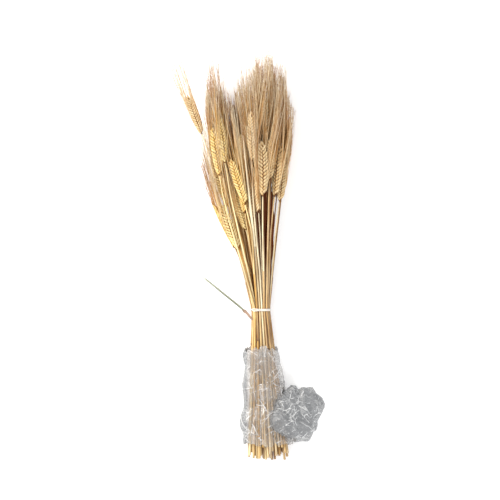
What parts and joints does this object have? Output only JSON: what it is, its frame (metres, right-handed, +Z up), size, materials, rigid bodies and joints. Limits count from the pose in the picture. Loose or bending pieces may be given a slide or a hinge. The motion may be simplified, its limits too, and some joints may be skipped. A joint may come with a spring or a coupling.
{
  "type": "bundle of dried wheat",
  "caption": "Long dried bearded wheat stalks tied by a rubber band, with a loose leaf and a crumpled clear film sleeve round the cut ends, lying flat.",
  "frame": {"origin": "bottom centre of the bounding box, on the surface that the bundle lies on", "axes": "+Y along the stalks from the cut ends to the ears, +Z up from the surface, +X to the right seen from above with the ears at the top"},
  "size_m": [0.2408, 0.644, 0.0785],
  "materials": {
    "straw": "dry matt straw, golden",
    "bare_straw": "pale dry straw with a slight sheen",
    "band": "white, satin",
    "leaf": "dry leaf, brown to grey-green",
    "film": "clear crumpled film, glossy"
  },
  "bodies": {
    "root": {"wheat_stalk_01": "straw", "wheat_stalk_02": "straw", "wheat_stalk_03": "straw", "wheat_stalk_04": "straw", "wheat_stalk_05": "straw", "wheat_stalk_06": "straw", "wheat_stalk_07": "straw", "wheat_stalk_08": "straw", "wheat_stalk_09": "straw", "wheat_stalk_10": "straw", "wheat_stalk_11": "straw", "wheat_stalk_12": "straw", "wheat_stalk_13": "straw", "wheat_stalk_14": "straw", "wheat_stalk_15": "straw", "wheat_stalk_16": "straw", "wheat_stalk_17": "straw", "wheat_stalk_18": "straw", "wheat_stalk_19": "straw", "wheat_stalk_20": "straw", "wheat_stalk_21": "straw", "wheat_stalk_22": "straw", "wheat_stalk_23": "straw", "wheat_stalk_24": "straw", "wheat_stalk_25": "straw", "wheat_stalk_26": "straw", "wheat_stalk_27": "straw", "wheat_stalk_28": "straw", "wheat_stalk_29": "straw", "wheat_stalk_30": "straw", "wheat_stalk_31": "straw", "wheat_stalk_32": "straw", "wheat_stalk_33": "straw", "wheat_stalk_34": "straw", "wheat_stalk_35": "straw", "wheat_stalk_36": "straw", "wheat_stalk_37": "straw", "wheat_stalk_38": "straw", "wheat_stalk_39": "straw", "wheat_stalk_40": "straw", "wheat_stalk_41": "straw", "wheat_stalk_42": "straw", "wheat_stalk_43": "straw", "wheat_stalk_44": "straw", "wheat_stalk_45": "straw", "wheat_stalk_46": "straw", "wheat_stalk_47": "straw", "bare_straw_01": "bare_straw", "bare_straw_02": "bare_straw", "bare_straw_03": "bare_straw", "rubber_band": "band", "leaf": "leaf", "film_sleeve": "film"}
  },
  "joints": []
}
